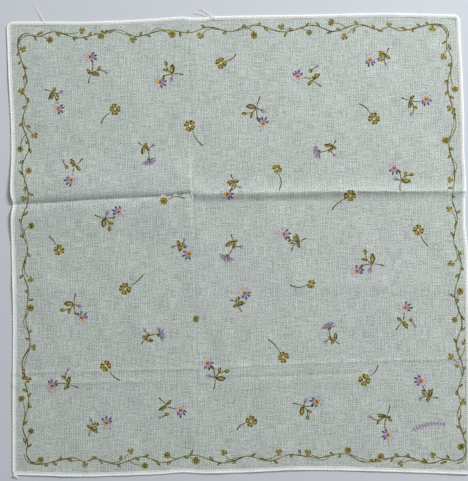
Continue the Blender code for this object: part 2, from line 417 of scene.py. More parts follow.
# The forms of the printed blades: shares of their width at even steps from foot to tip.
LEAF_FORM = (0.3, 0.85, 1.0, 0.8, 0.0)
SLIM_FORM = (0.0, 1.0, 0.75, 0.0)
PETAL_FORM = (0.35, 0.9, 1.0, 0.45)
STROKE_FORM = (0.8, 1.0, 0.7)

# A sprig's design, charted in millimetres round the point where its stems meet. Each spot is
# a turn in degrees, anticlockwise from the way of its cut stem, and a reach. A leaf is the
# spots of its foot and its tip, and its width. A bud is the spots of its foot and its tip.
Spot = namedtuple("Spot", "turn reach")
Design = namedtuple("Design", "flower cut bud leaves twigs")
TWIGGY = Design(
    flower=Spot(215, 11.0), cut=7.1, bud=((257, 2.6), (260, 5.6)),
    leaves=[
        (97, 0.4, 99, 6.9, 3.3), (152, 4.0, 163, 7.6, 1.9), (134, 7.2, 126, 10.2, 2.3),
        (190, 5.8, 204, 7.4, 1.1), (216, 6.4, 207, 7.7, 1.0),
    ],
    twigs=[
        [(150, 0.3), (151, 3.6), (137, 6.1), (134, 7.5)],
        [(190, 0.4), (195, 4.4), (205, 7.3), (212, 9.0)], [(250, 0.3), (257, 3.0)],
    ],
)
FORKED = Design(
    flower=Spot(202, 11.3), cut=6.4, bud=((110, 9.2), (107, 11.3)),
    leaves=[
        (94, 0.4, 96, 6.3, 1.7), (114, 0.9, 109, 5.8, 1.6), (130, 0.4, 121, 4.2, 1.3),
        (238, 0.2, 240, 4.5, 1.9), (131, 4.9, 145, 8.0, 1.9), (262, 0.2, 270, 2.6, 1.1),
    ],
    twigs=[
        [(150, 1.0), (133, 4.7), (124, 7.3), (112, 9.6)],
        [(160, 0.6), (178, 4.3), (188, 8.0), (199, 9.4)],
    ],
)
BUSHY = Design(
    flower=Spot(124, 11.0), cut=5.0, bud=((194, 5.4), (200, 7.5)),
    leaves=[
        (80, 0.3, 83, 5.9, 1.6), (112, 0.2, 109, 5.0, 2.5), (95, 0.4, 95, 4.8, 1.5),
        (252, 0.2, 245, 4.0, 1.7), (214, 0.2, 222, 3.2, 1.6), (168, 3.2, 158, 6.0, 1.7),
        (136, 5.2, 151, 6.9, 1.1),
    ],
    twigs=[
        [(160, 0.8), (180, 3.6), (192, 5.8)], [(146, 1.5), (138, 4.7), (130, 9.0)],
    ],
)
CROSSED = Design(
    flower=Spot(210, 9.9), cut=7.0, bud=((112, 8.6), (108, 10.4)),
    leaves=[
        (84, 0.3, 80, 6.5, 2.1), (106, 0.3, 101, 5.0, 1.7), (262, 0.2, 266, 5.1, 2.2),
        (128, 0.3, 132, 2.6, 1.3), (138, 5.0, 146, 7.5, 2.5),
    ],
    twigs=[
        [(142, 6.2), (121, 8.1), (112, 9.1)], [(185, 1.6), (200, 4.4), (208, 8.0)],
    ],
)
SIDEWAYS = Design(
    flower=Spot(141, 12.0), cut=4.2, bud=((214, 5.2), (218, 7.3)),
    leaves=[
        (113, 0.3, 110, 6.1, 2.6), (97, 0.2, 97, 3.8, 1.4), (252, 0.2, 252, 3.0, 1.9),
        (188, 0.2, 200, 2.8, 1.5), (178, 3.0, 170, 5.1, 1.6),
    ],
    twigs=[
        [(180, 0.6), (185, 3.4), (212, 5.6)], [(168, 1.5), (158, 4.6), (148, 7.8), (143, 10.0)],
    ],
)
# Where each design is printed, by pixels of the photograph: the meeting of its stems, the
# middle of its flower, and the way in degrees that an open flower's strong petals point.
Sprig = namedtuple("Sprig", "x y flower_x flower_y strong", defaults=(None,))
SPRIGS = [
    (TWIGGY, [
        (401, 181, 394, 167, -87), (173, 74, 159, 82, -10), (257, 108, 263, 125, 84),
        (105, 218, 120, 213, 140), (74, 304, 81, 319, 66), (372, 264, 356, 272, 35),
        (215, 378, 207, 362, -60), (303, 406, 318, 401, 200),
    ]),
    (FORKED, [
        (91, 74, 89, 57, -5), (410, 100, 426, 98, -82), (387, 416, 389, 435, 172),
        (69, 385, 52, 387, 74),
    ]),
    (BUSHY, [
        (52, 92, 57, 108, -16), (386, 55, 370, 59, -88), (234, 181, 226, 194, -13),
        (178, 245, 190, 253, 220), (299, 242, 283, 234, -10), (238, 306, 244, 292, -57),
        (91, 429, 106, 424, 73), (430, 397, 422, 381, 175),
    ]),
    (CROSSED, [
        (313, 80, 298, 78, 95), (76, 166, 73, 180, 206), (166, 405, 180, 409, -68),
        (402, 322, 404, 308, 20),
    ]),
    (SIDEWAYS, [
        (144, 146, 150, 163), (333, 146, 316, 153), (233, 241, 226, 259), (145, 339, 162, 334),
        (334, 341, 328, 325),
    ]),
]
# Single clovers: the middle of the head and the end of the stem by pixels, how far the stem
# swings left on its way up to the head, and the head's radius in millimetres.
Clover = namedtuple("Clover", "head_x head_y end_x end_y bend radius")
CLOVERS = table(Clover, [
    (115, 109, 101, 124, 0.12, 3.9), (221, 63, 236, 54, 0.16, 3.9),
    (190, 126, 203, 146, 0.09, 3.8), (374, 119, 359, 104, 0.12, 4.0),
    (277, 169, 279, 190, -0.16, 3.1), (164, 201, 185, 199, -0.17, 2.7),
    (59, 250, 49, 236, 0.07, 3.7), (125, 289, 143, 275, 0.08, 4.1),
    (311, 284, 290, 285, -0.15, 2.9), (350, 196, 332, 210, 0.1, 3.9),
    (418, 230, 428, 246, 0.09, 3.6), (106, 366, 120, 380, 0.13, 4.0),
    (283, 357, 268, 339, 0.07, 3.8), (251, 421, 237, 430, 0.16, 3.7),
    (364, 380, 378, 365, 0.14, 4.0), (196, 319, 196, 321, 0.0, 2.2),
])

# The border, charted by pixels along the photograph's top edge. The other three sides
# repeat it clockwise, between corners of the vine that are pixels too.
VINE_CORNERS = [(18, 33.5), (448, 25), (466, 463), (24.5, 463.5)]
VINE = [
    (18.3, 43), (22, 38), (29, 35.4), (38, 36.5), (54, 32), (79, 38), (108, 31.3), (120, 30.4),
    (136, 36.6), (160, 31), (171, 30.6), (190, 33), (209, 27.3), (231, 31.8), (245, 27.2),
    (258, 25.6), (284, 32.2), (313, 25.5), (333, 31.6), (358, 24.6), (379, 30), (389, 27.2),
    (401, 31), (430, 24.8), (442, 25.3), (447.5, 31), (448, 38),
]
# Strands beside the vine, each through three places.
STRANDS = [
    ((110, 31.6), (120, 33), (130, 36.2)), ((148, 34.8), (157, 28.8), (167, 30.6)),
    ((392, 28.6), (401, 28.2), (410, 30.4)), ((236, 31.2), (245, 29.2), (252, 27)),
    ((18.2, 52), (18.4, 45), (19, 39)),
]
# Small clovers: where the stem leaves the vine, a place on its way, and the clover's middle.
BRANCHES = [
    ((35, 36.4), (44, 37.2), (50, 40)), ((64, 34), (73, 34), (82, 31)),
    ((95, 34), (98, 34.4), (101, 36.5)), ((129, 35), (131, 37), (133, 40)),
    ((162, 31), (167, 32.2), (172, 34.5)), ((216, 28.2), (207, 30), (200.5, 36)),
    ((243, 27.6), (250, 29.6), (254, 35.5)), ((291, 31), (286, 29.6), (281, 27)),
    ((296, 28.6), (303, 29), (309, 32.5)), ((347, 29), (341, 24.6), (331, 23)),
    ((364, 25.6), (354, 28), (344.5, 37)), ((384, 28.8), (387, 27), (389, 25)),
    ((443, 25.8), (438, 26.4), (432, 29)),
]
# The vine's leaves, each from foot to tip.
VINE_LEAVES = [
    ((37, 34.8), (43.5, 32)), ((34.5, 36.4), (37, 41)), ((56, 32.4), (60, 36.8)),
    ((57, 32.4), (62.5, 33.8)), ((73, 37), (75, 41.2)), ((74, 37.4), (78, 38.4)),
    ((83.5, 37.2), (88, 40.4)), ((89, 36.2), (91.5, 31.6)), ((101, 31.4), (107.5, 34)),
    ((106, 31), (112, 32.8)), ((140, 36), (142, 31.6)), ((147, 34.2), (150.5, 37.4)),
    ((179.5, 32.4), (180.7, 37.4)), ((187, 33), (189.2, 29.8)), ((205, 28), (201, 25.2)),
    ((213, 27.5), (219, 29.8)), ((227, 31.8), (222.5, 34.2)), ((242, 28), (245, 24.4)),
    ((257, 25.8), (260.6, 23)), ((264, 27), (268.2, 31.6)), ((287, 32.3), (284, 37.6)),
    ((293, 30.6), (288.3, 28.4)), ((305, 26.2), (309.4, 23.2)), ((319.5, 27), (316, 22.4)),
    ((332, 31.6), (326.6, 33.6)), ((340, 31), (335.8, 28.6)), ((357.5, 24.8), (354, 21.4)),
    ((355, 29), (353, 33.2)), ((374.5, 28.8), (371.6, 24.8)), ((377.6, 30.8), (383, 31.2)),
    ((406, 30.4), (401.2, 27.4)), ((413, 29.2), (412.6, 32.6)), ((412.6, 29), (416.8, 28)),
    ((420, 26.4), (416, 24)), ((428.6, 24.8), (425, 22.6)),
]
VINE_STEP = 1.2
VINE_DASH = 3  # steps in one dash of the vine's line
VINE_INKS = (STEM, OLIVE, STEM, FAINT_STEM)
VINE_HALF_WIDTHS = (0.32, 0.44)
STRAND_HALF_WIDTH = 0.28
BRANCH_HALF_WIDTH = 0.3
VINE_LEAF_WIDTHS = (1.5, 1.9)
VINE_HALO_WIDTH = 1.0
BORDER_CLOVER_RADIUS = 2.3
BORDER_CLOVER_SIZES = (0.9, 1.12)
FULL_CLOVER_RADIUS = BORDER_CLOVER_RADIUS * 1.2  # a clover past this is drawn in full
FOUR_LEAFLETS_SHARE = 0.45
# The ornament near the lower right corner: the middle of its stem by pixels, its length,
# slope and arch, and its pairs of leaves, each of which is shorter than the pair before.
ORNAMENT_X, ORNAMENT_Y = 428, 428
ORNAMENT_LENGTH = 24.0
ORNAMENT_SLOPE = 12
ORNAMENT_ARCH = 0.1
ORNAMENT_PAIRS = 11
ORNAMENT_HALF_WIDTH = 0.22
ORNAMENT_LEAF = 3.0
ORNAMENT_LEAF_LOSS = 0.14
ORNAMENT_LEAF_WIDTH = 0.95
ORNAMENT_LEAF_TURN = 48

# The parts of the sprigs and clovers, in millimetres, degrees and shares of their sizes.
PRINT_SEED = 5
MOST_BEND = 0.08
PETAL_STRAY, STRONG_STRAY, FAN_STRAY, LEAFLET_STRAY, HEAD_STRAY = 6, 5, 4, 8, 25
CLOVER_TURNS = (30, 60)
CUT_STEM_POINTS = 7
CUT_STEM_HALF_WIDTHS = (0.26, 0.42)
TWIG_HALF_WIDTH = 0.33
HALO_PAST_ENDS = 0.4
HALO_WIDER = 1.1
SOLID_LEAF_WIDTH = 1.25  # leaves up to this wide have no paler inside
INSIDE_FROM, INSIDE_TO = 0.14, 0.82
INSIDE_LEFT = 0.1
INSIDE_WIDTH = 0.52
USUAL_WAY_SHARE = 0.6  # how many of the leaves have their inks in the usual order
BUD_MIDDLE = 0.6
BUD_HALF_WIDE = 1.2
BUD_PETALS = ((-38, 1.05), (0, 1.2), (38, 1.05))  # each petal's turn, and its share of the bud
BUD_PETAL_WIDTH = 0.75
DAISY_RADIUS = 4.4
DAISY_GROUND = 0.62
FAINT_PETALS = 16
FAINT_GAP = 50  # no faint petal stands within this turn of the strong ones' way
FAINT_REACHES = (0.85, 1.15)
FAINT_FROM, FAINT_WIDTH = 1.1, 0.9
FAINT_LINE_FROM, FAINT_LINE_PAST, FAINT_LINE_WIDTH = 1.6, 0.3, 0.5
FAINT_LINE_BESIDE = (0.2, 0.4)
STRONG_PETALS = ((-48, 4.6), (48, 4.7), (-17, 5.7), (16, 5.3))  # each one's turn and reach
STRONG_REACHES = (0.94, 1.05)
STRONG_WIDTH = 1.45
STRONG_INSIDE_FROM, STRONG_INSIDE_TO = 0.12, 0.7
STRONG_INSIDE_WIDTH = 0.8
# A daisy's middle: how far each oval lies toward the strong petals, and its half sizes.
DaisyOval = namedtuple("DaisyOval", "toward half_long half_wide ink points")
DAISY_MIDDLE = table(DaisyOval, [
    (0.0, 1.6, 1.35, DEEP_YELLOW, 12), (-0.45, 0.85, 0.95, YELLOW, 10),
    (0.75, 0.5, 1.0, BROWN, 8),
])
FAN_HALF, FAN_STEP = 84, 14
FAN_GROUND_BACK, FAN_GROUND_LONG, FAN_GROUND_WIDE = 0.3, 1.7, 3.6
FAN_BASE = 1.9  # how far behind the flower's middle its petals spring
FAN_FROM, FAN_REACH = 0.3, 3.7
FAN_SIDE_REACH = 1.7  # how much further the petals at the sides reach
FAN_REACHES = (0.92, 1.08)
FAN_PETAL_WIDTH = 0.8
CUP_BACK, CUP_HALF_LONG, CUP_HALF_WIDE = 0.3, 1.1, 0.7
CUP_LEAF_BACK, CUP_LEAF_HALF, CUP_LEAF_WIDTH = 0.8, 1.5, 1.1
CLOVER_STEM_POINTS = 11
CLOVER_STEM_HALF_WIDTHS = (0.42, 0.26)
CLOVER_STEM_END = 0.7
CLOVER_HALO_LONG, CLOVER_HALO_WIDE = 1.12, 1.1
CLOVER_GAP_LENGTH = 0.95
CLOVER_GAP_WIDTH = 0.26
LEAFLET_REACHES = (0.88, 1.08)
LEAFLET_HALF, SMALL_LEAFLET_HALF = 0.5, 0.56
LEAFLET_TONES = ((OCHRE, DARK_OLIVE), (DARK_OLIVE, STEM), (STEM, OLIVE), (OCHRE, OLIVE))
INNER_FROM = 0.36
INNER_REACH = 0.5
INNER_HALF = 0.56
INNER_STRAY = 0.3
# Half of a clover's leaflet, from its foot to the notch at its tip, along it and across it.
FULL_LEAFLET = ((0.12, 0), (0.36, 0.66), (0.68, 1.0), (0.92, 0.84), (1.0, 0.45), (0.9, 0))
SMALL_LEAFLET = ((0.0, 0), (0.5, 0.95), (0.95, 0.75), (0.9, 0))
INNER_LEAFLET = ((0, 0), (0.6, 1.0), (1.0, 0.3))


def turned(vector, degrees):
    angle = math.radians(degrees)
    cos, sin = math.cos(angle), math.sin(angle)
    return np.array((vector[0] * cos - vector[1] * sin, vector[0] * sin + vector[1] * cos))


def unit(vector):
    return vector / np.linalg.norm(vector)


def stray(most, rng):
    """A random amount of up to the most, either way."""
    return rng.uniform(-most, most)


def bent(start, end, bend, count=5):
    """Points from start to end on a curve that swings left by bend, a share of its length."""
    t = np.linspace(0, 1, count)[:, None]
    along = end - start
    left = np.array((-along[1], along[0]))
    return start + along * t + left * bend * 4 * t * (1 - t)


def smooth_through(places, step):
    """Points about a step apart on a smooth curve through some places."""
    places = np.array(places)
    gaps = np.linalg.norm(np.diff(places, axis=0), axis=1)
    along = np.concatenate(([0.0], np.cumsum(gaps)))
    t = np.linspace(0, along[-1], max(round(along[-1] / step), 2) + 1)
    curves = [curve_through(list(zip(along, column))) for column in places.T]
    return np.stack([curve(t) for curve in curves], 1)


def blade(spine, half_widths, near, far):
    """A shape along a spine, anticlockwise. A half width of 0 gives it a pointed end."""
    along = np.gradient(spine, axis=0)
    left = np.stack((-along[:, 1], along[:, 0]), 1)
    left /= np.linalg.norm(left, axis=1, keepdims=True)
    half = np.asarray(half_widths)[:, None]
    back = (spine + left * half)[half[:, 0] > 0][::-1]
    return Shape(np.concatenate((spine - left * half, back)), spine[0], spine[-1], near, far)


def formed(form, start, end, width, near, far, bend=0.0):
    half_widths = np.array(form) * width / 2
    return blade(bent(start, end, bend, len(form)), half_widths, near, far)


def oval(centre, forward, half_long, half_wide, near, far, count=10):
    angles = math.tau * np.arange(count) / count
    side = turned(forward, 90)
    around = np.cos(angles)[:, None] * forward * half_long
    around = around + np.sin(angles)[:, None] * side * half_wide
    ends = forward * half_long
    return Shape(centre + around, centre - ends, centre + ends, near, far)


def stalk(places, half_width, near, far):
    spine = smooth_through(places, VINE_STEP)
    return blade(spine, [half_width] * len(spine), near, far)


def leaf_halo(foot, tip, width):
    """The cloth just round a leaf, a little paler than the rest."""
    along = unit(tip - foot) * HALO_PAST_ENDS
    return formed(LEAF_FORM, foot - along, tip + along, width + HALO_WIDER, HALO, HALO)


def either_way(first, second, rng):
    """The inks of a leaf's foot and tip, more often in this order than the other."""
    return (first, second) if rng.uniform() < USUAL_WAY_SHARE else (second, first)


def leaf(foot, tip, width, bend, rng):
    """A leaf with a dark edge and a paler inside that lies to its left."""
    shapes = [formed(LEAF_FORM, foot, tip, width, *either_way(OLIVE, DARK_OLIVE, rng), bend)]
    if width > SOLID_LEAF_WIDTH:
        along = tip - foot
        shift = bend + INSIDE_LEFT * width / np.linalg.norm(along)
        left = np.array((-along[1], along[0])) * shift
        inside = foot + along * INSIDE_FROM + left, foot + along * INSIDE_TO + left
        inks = either_way(OCHRE, PALE_OLIVE, rng)
        shapes.append(formed(LEAF_FORM, *inside, width * INSIDE_WIDTH, *inks, bend))
    return shapes


def bud(foot, tip, rng):
    """A small tuft of closed petals on a paler ground."""
    along = tip - foot
    middle, half_long = foot + along * BUD_MIDDLE, np.linalg.norm(along) * BUD_MIDDLE
    shapes = [oval(middle, unit(along), half_long, BUD_HALF_WIDE, LILAC, LILAC_LINE, 8)]
    for degrees, share in BUD_PETALS:
        petal_tip = foot + turned(along, degrees + stray(PETAL_STRAY, rng)) * share
        shapes.append(formed(PETAL_FORM, foot, petal_tip, BUD_PETAL_WIDTH, DARK_VIOLET, PINK))
    return shapes


def faint_petal(centre, out, ink, rng):
    """A pale petal of an open daisy, with a line of a darker ink beside its middle."""
    reach = DAISY_RADIUS * rng.uniform(*FAINT_REACHES)
    side = turned(out, 90) * rng.uniform(*FAINT_LINE_BESIDE)
    petal = centre + out * FAINT_FROM, centre + out * reach
    line_tip = centre + out * (reach + FAINT_LINE_PAST) + side
    line = centre + out * FAINT_LINE_FROM + side, line_tip
    return [
        formed(PETAL_FORM, *petal, FAINT_WIDTH, PALE_LILAC, PALE_LILAC),
        formed(SLIM_FORM, *line, FAINT_LINE_WIDTH, ink, ink),
    ]


def front_daisy(centre, strong, rng):
    """An open daisy: faint petals all round, strong ones on one side and a yellow middle."""
    ground = DAISY_RADIUS * DAISY_GROUND
    shapes = [oval(centre, strong, ground, ground, PALE_LILAC, PALE_LILAC)]
    for k in range(FAINT_PETALS):
        degrees = 360 * k / FAINT_PETALS + stray(PETAL_STRAY, rng)
        if abs((degrees + 180) % 360 - 180) >= FAINT_GAP:
            ink = LILAC if k % 3 == 0 else LILAC_LINE
            shapes += faint_petal(centre, turned(strong, degrees), ink, rng)
    for degrees, reach in STRONG_PETALS:
        out = turned(strong, degrees + stray(STRONG_STRAY, rng))
        base, tip = centre + out, centre + out * reach * rng.uniform(*STRONG_REACHES)
        shapes.append(formed(PETAL_FORM, base, tip, STRONG_WIDTH, VIOLET, DARK_VIOLET))
        along = tip - base
        inside = base + along * STRONG_INSIDE_FROM, base + along * STRONG_INSIDE_TO
        shapes.append(formed(PETAL_FORM, *inside, STRONG_INSIDE_WIDTH, PINK, VIOLET))
    for row in DAISY_MIDDLE:
        place, half = centre + strong * row.toward, (row.half_long, row.half_wide)
        shapes.append(oval(place, strong, *half, row.ink, row.ink, row.points))
    return shapes


def side_daisy(middle, away, rng):
    """A daisy seen from its side: petals that fan out from a small ochre cup."""
    base = middle - away * FAN_BASE
    ground = middle - away * FAN_GROUND_BACK
    shapes = [oval(ground, away, FAN_GROUND_LONG, FAN_GROUND_WIDE, LILAC, PALE_LILAC, 12)]
    for k, degrees in enumerate(range(-FAN_HALF, FAN_HALF + 1, FAN_STEP)):
        out = turned(away, degrees + stray(FAN_STRAY, rng))
        reach = FAN_REACH + FAN_SIDE_REACH * abs(degrees) / FAN_HALF
        foot, tip = base + out * FAN_FROM, base + out * (reach * rng.uniform(*FAN_REACHES))
        inks = (DARK_VIOLET, LILAC, VIOLET)[k % 3], LILAC_LINE
        bend = stray(MOST_BEND, rng)
        shapes.append(formed(PETAL_FORM, foot, tip, FAN_PETAL_WIDTH, *inks, bend))
    side = turned(away, 90)
    cup = base - away * CUP_BACK
    shapes.append(oval(cup, side, CUP_HALF_LONG, CUP_HALF_WIDE, OCHRE, OLIVE, 8))
    middle, half = base - away * CUP_LEAF_BACK, side * CUP_LEAF_HALF
    ends = middle + half, middle - half
    return [*shapes, formed(LEAF_FORM, *ends, CUP_LEAF_WIDTH, OCHRE, DARK_OLIVE)]


def sprig(row, design, rng):
    joint = on_cloth(row.x, row.y)
    flower = on_cloth(row.flower_x, row.flower_y)
    along = flower - joint
    scale = np.linalg.norm(along) / design.flower.reach
    way = turned(unit(along), -design.flower.turn) * scale

    def spot(turn, reach):
        return joint + turned(way, turn) * reach

    leaves = [(spot(*part[:2]), spot(*part[2:4]), part[4]) for part in design.leaves]
    shapes = [leaf_halo(*ends) for ends in leaves]
    cut = bent(joint, spot(0, design.cut), stray(MOST_BEND, rng), CUT_STEM_POINTS)
    half_widths = np.linspace(*CUT_STEM_HALF_WIDTHS, CUT_STEM_POINTS)
    shapes.append(blade(cut, half_widths, FAINT_STEM, DARK_OLIVE))
    for twig in design.twigs:
        shapes.append(stalk([spot(*place) for place in twig], TWIG_HALF_WIDTH, OLIVE, STEM))
    for foot, tip, width in leaves:
        shapes += leaf(foot, tip, width, stray(MOST_BEND, rng), rng)
    shapes += bud(spot(*design.bud[0]), spot(*design.bud[1]), rng)
    if row.strong is None:
        return shapes + side_daisy(flower, unit(along), rng)
    return shapes + front_daisy(flower, turned(np.array((1.0, 0.0)), row.strong), rng)


def leaflet(foot, reach, half, form):
    """A leaflet's outline, anticlockwise: down its right side and back up its left one."""
    right = [foot + reach * along - half * across for along, across in form]
    left = [foot + reach * along + half * across for along, across in form[::-1] if across]
    return np.array(right + left)


def clover_head(centre, forward, radius, leaflets, rng):
    """A clover's leaflets round its middle. A large clover has pale gaps between them."""
    halo = radius * CLOVER_HALO_LONG, radius * CLOVER_HALO_WIDE
    shapes = [oval(centre, forward, *halo, HALO, HALO, 8)]
    spread = 360 / leaflets
    full = radius > FULL_CLOVER_RADIUS
    for k in range(leaflets if full else 0):
        gap = centre + turned(forward, spread * (k + 0.5)) * radius * CLOVER_GAP_LENGTH
        shapes.append(formed(STROKE_FORM, centre, gap, radius * CLOVER_GAP_WIDTH, CREAM, HALO))
    for k in range(leaflets):
        out = turned(forward, spread * k + stray(LEAFLET_STRAY, rng))
        reach = radius * rng.uniform(*LEAFLET_REACHES)
        half = turned(out, 90) * (reach * (LEAFLET_HALF if full else SMALL_LEAFLET_HALF))
        outer = leaflet(centre, out * reach, half, FULL_LEAFLET if full else SMALL_LEAFLET)
        inks = LEAFLET_TONES[rng.integers(len(LEAFLET_TONES))]
        tip = centre + out * reach
        shapes.append(Shape(outer, centre, tip, *inks))
        heart = centre + out * reach * INNER_FROM + half * stray(INNER_STRAY, rng)
        inner = leaflet(heart, out * reach * INNER_REACH, half * INNER_HALF, INNER_LEAFLET)
        shapes.append(Shape(inner, heart, tip, PALE_OLIVE, OCHRE))
    return shapes


def clover(row, rng):
    head = on_cloth(row.head_x, row.head_y)
    end = on_cloth(row.end_x, row.end_y)
    shapes = []
    if np.linalg.norm(head - end) > row.radius:
        foot = head - unit(head - end) * row.radius * CLOVER_STEM_END
        stem = bent(end, foot, row.bend, CLOVER_STEM_POINTS)
        half_widths = np.linspace(*CLOVER_STEM_HALF_WIDTHS, CLOVER_STEM_POINTS)
        shapes.append(blade(stem, half_widths, OLIVE, STEM))
    forward = turned(unit(head - end), rng.uniform(*CLOVER_TURNS))
    return shapes + clover_head(head, forward, row.radius, 4, rng)


def chart_side(side):
    """How the border's chart is laid on a side: 0 is the far one, and then clockwise."""
    near_line, right_line, far_line, left_line = edges(0.0)
    lines = (far_line, right_line, near_line, left_line)
    outwards = (1, 1, -1, -1)

    def ends(number):
        """A side's two vine corners, and how far in from the outline each one is."""
        corners = [on_cloth(*VINE_CORNERS[(number + k) % 4]) for k in (0, 1)]
        by = number % 2
        gaps = [outwards[number] * (lines[number](c[by]) - c[1 - by]) for c in corners]
        return corners[0][by], corners[1][by], gaps[0], gaps[1]

    chart_start, chart_end, chart_gap, chart_end_gap = ends(0)
    start, end, gap, end_gap = ends(side)

    def laid(points):
        share = (points[:, 0] - chart_start) / (chart_end - chart_start)
        inset = far_line(points[:, 0]) - points[:, 1]
        inset = inset - (chart_gap + (chart_end_gap - chart_gap) * share)
        along = start + (end - start) * share
        inset = inset + gap + (end_gap - gap) * share
        across = lines[side](along) - outwards[side] * inset
        return np.stack((along, across) if side % 2 == 0 else (across, along), 1)

    return laid


def border_on(side, rng):
    """The border's vine, side strands, leaves and small clovers on one side."""
    laid = chart_side(side)

    def lay(places):
        return [laid(on_cloth(*place)[None])[0] for place in places]

    leaves = [lay(ends) for ends in VINE_LEAVES]
    branches = [lay(branch) for branch in BRANCHES]
    shapes = [leaf_halo(*ends, VINE_HALO_WIDTH) for ends in leaves]
    shapes += [stalk(lay(places), STRAND_HALF_WIDTH, FAINT_STEM, STEM) for places in STRANDS]
    shapes += [stalk(places, BRANCH_HALF_WIDTH, STEM, FAINT_STEM) for places in branches]
    line = smooth_through(lay(VINE), VINE_STEP)
    for start in range(0, len(line) - VINE_DASH, VINE_DASH):
        spine = line[start : start + VINE_DASH + 1]
        ink = VINE_INKS[rng.integers(len(VINE_INKS))]
        shapes.append(blade(spine, [rng.uniform(*VINE_HALF_WIDTHS)] * len(spine), ink, ink))
    for ends in leaves:
        shapes += leaf(*ends, rng.uniform(*VINE_LEAF_WIDTHS), stray(MOST_BEND, rng), rng)
    for _, via, head in branches:
        radius = BORDER_CLOVER_RADIUS * rng.uniform(*BORDER_CLOVER_SIZES)
        forward = turned(unit(head - via), stray(HEAD_STRAY, rng))
        leaflets = 4 if rng.uniform() < FOUR_LEAFLETS_SHARE else 3
        shapes += clover_head(head, forward, radius, leaflets, rng)
    return shapes


def ornament():
    """A small lilac spray of paired leaves on an arched stem."""
    inks = ORNAMENT_LILAC, ORNAMENT_LILAC
    middle = on_cloth(ORNAMENT_X, ORNAMENT_Y)
    half = turned(np.array((1.0, 0.0)), ORNAMENT_SLOPE) * ORNAMENT_LENGTH / 2
    points = ORNAMENT_PAIRS + 2
    stem = bent(middle - half, middle + half, ORNAMENT_ARCH, points)
    shapes = [blade(stem, [ORNAMENT_HALF_WIDTH] * points, *inks)]
    for k in range(1, ORNAMENT_PAIRS + 1):
        forward = unit(stem[k + 1] - stem[k - 1])
        length = ORNAMENT_LEAF - ORNAMENT_LEAF_LOSS * k
        for way in (-1, 1):
            tip = stem[k] + turned(forward, way * ORNAMENT_LEAF_TURN) * length
            bend = -MOST_BEND * way
            shapes.append(formed(LEAF_FORM, stem[k], tip, ORNAMENT_LEAF_WIDTH, *inks, bend))
    return shapes


def all_print():
    rng = np.random.default_rng(PRINT_SEED)
    shapes = []
    for side in range(4):
        shapes += border_on(side, rng)
    for row in CLOVERS:
        shapes += clover(row, rng)
    for design, rows in SPRIGS:
        for row in table(Sprig, rows):
            shapes += sprig(row, design, rng)
    return shapes + ornament()


def to_linear(share):
    """A share of full brightness in a picture as the light that it stands for."""
    share = np.asarray(share, float)
    return np.where(share <= 0.04045, share / 12.92, ((share + 0.055) / 1.055) ** 2.4)


def colour(red, green, blue, alpha=1.0):
    return (*to_linear(np.array((red, green, blue)) / 255), alpha)


def select_only(piece):
    bpy.ops.object.select_all(action="DESELECT")
    piece.select_set(True)
    bpy.context.view_layer.objects.active = piece


SPECULAR = 0.2
THREAD_PITCH = 0.34
WEAVE_DEPTH = 0.05
TWIST_DEPTH = 0.03
# Noise over the cloth: how many spots it has a metre along x, y and z.
GRAIN_SPOTS = (2000, 1600, 0)
UPRIGHT_SPOTS = (1700, 110, 0)
ACROSS_SPOTS = (110, 1500, 0)
WANDER_SPOTS = (260, 260, 0)
CLOUD_SPOTS = (16, 16, 0)
HEM_SPOTS = (1000, 1000, 0)
TWIST_SPOTS = (4000, 4000, 4000)
# How much each noise counts.
GRAIN_SHARE = 1.6
UPRIGHT_SHARE = 0.7
ACROSS_SHARE = 0.75
WANDER_SHARE = 2.4
CLOUD_SHARE, CLOUD_MEAN = 1.2, 0.35
INK_STREAKS, COVER_STREAKS, RELIEF_STREAKS = 0.8, 0.5, 0.5
HEM_STREAKS, HEM_WANDER = 0.4, 1.5
TWIST_SHARE = 0.3
# The fine lines up the cloth: their pitch, how far and how fast they stray, and their strength.
LINE_PITCH = 1.5
LINE_STRAY, LINE_STRAY_SPOTS = 7.0, (300, 50, 0)
LINE_STRENGTH, LINE_STRENGTH_SPOTS, LINE_STRENGTH_MEAN = 0.19, (420, 90, 0), 0.45
LAWN_COLOUR = colour(180, 191, 184)
PATCH_COLOUR = colour(184, 188, 187)
HEM_COLOUR = colour(190, 198, 194)
ROLL_COLOUR = colour(246, 248, 246)
THREAD_COLOUR = colour(244, 245, 243)
# Painted shade in the hem's needle holes.
HOLE_SHADE_COLOUR = colour(128, 138, 134)
FLOOR_COLOUR = colour(200, 205, 212)


